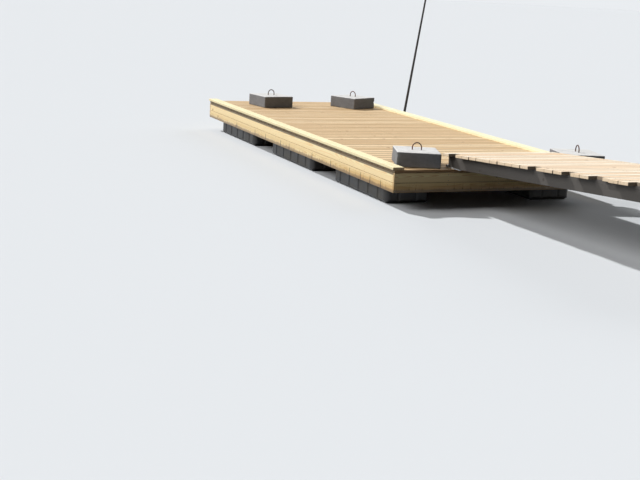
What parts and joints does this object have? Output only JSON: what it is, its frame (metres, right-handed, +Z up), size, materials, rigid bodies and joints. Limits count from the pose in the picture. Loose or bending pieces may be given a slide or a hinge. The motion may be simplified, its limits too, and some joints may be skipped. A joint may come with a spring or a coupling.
{
  "type": "floating wooden jetty",
  "caption": "Decked timber pontoon on plastic floats, with concrete mooring weights on its deck, a mooring pole and a hinged gangway that rises to the shore.",
  "frame": {"origin": "under the middle of the whole jetty's plan, gangway and pole included, level with the bottom of the floats", "axes": "+Y along the pontoon away from the shore, +X to the right when looking out from the shore, +Z up"},
  "size_m": [2.6936, 9.2348, 2.3472],
  "materials": {
    "deck_wood": "matte",
    "trim_wood": "matte",
    "fascia_wood": "matte",
    "frame_wood": "matte",
    "gangway_wood": "matte",
    "float_plastic": "matte",
    "concrete": "matte",
    "loop_steel": "matte",
    "galvanised_steel": "satin",
    "pin_steel": "satin",
    "pole_wood": "matte"
  },
  "bodies": {
    "pontoon": {"left_trim": "trim_wood", "right_trim": "trim_wood", "deck_boards_near": "deck_wood", "deck_boards_middle": "deck_wood", "deck_boards_far": "deck_wood", "left_fascia_upper": "fascia_wood", "left_fascia_lower": "fascia_wood", "right_fascia_upper": "fascia_wood", "right_fascia_lower": "fascia_wood", "near_fascia": "fascia_wood", "far_fascia": "fascia_wood", "side_joist_left": "frame_wood", "side_joist_right": "frame_wood", "inner_joists": "frame_wood", "near_end_beam": "frame_wood", "far_end_beam": "frame_wood", "blocking": "frame_wood", "float_left_near": "float_plastic", "float_left_middle": "float_plastic", "float_left_far": "float_plastic", "float_right_near": "float_plastic", "float_right_middle": "float_plastic", "float_right_far": "float_plastic", "weight_near_left": "concrete", "weight_near_right": "concrete", "weight_far_left": "concrete", "weight_far_right": "concrete", "loop_near_left": "loop_steel", "loop_near_right": "loop_steel", "loop_far_left": "loop_steel", "loop_far_right": "loop_steel", "hinge_leaf_left": "galvanised_steel", "hinge_leaf_right": "galvanised_steel", "hinge_pins": "pin_steel", "mooring_bracket": "galvanised_steel", "mooring_pole": "pole_wood"},
    "gangway": {"stringer_left": "gangway_wood", "stringer_middle": "gangway_wood", "stringer_right": "gangway_wood", "gangway_noggins": "gangway_wood", "gangway_boards_inner": "gangway_wood", "gangway_boards_middle": "gangway_wood", "gangway_boards_shore": "gangway_wood", "hinge_strap_left": "galvanised_steel", "hinge_strap_right": "galvanised_steel"}
  },
  "joints": [
    {"name": "gangway_hinge", "type": "hinge", "parent": "pontoon", "child": "gangway", "pos_m": [-0.08979, -0.8526, 0.41], "axis": [-1, 0, 0], "range_deg": [0, 12]}
  ]
}
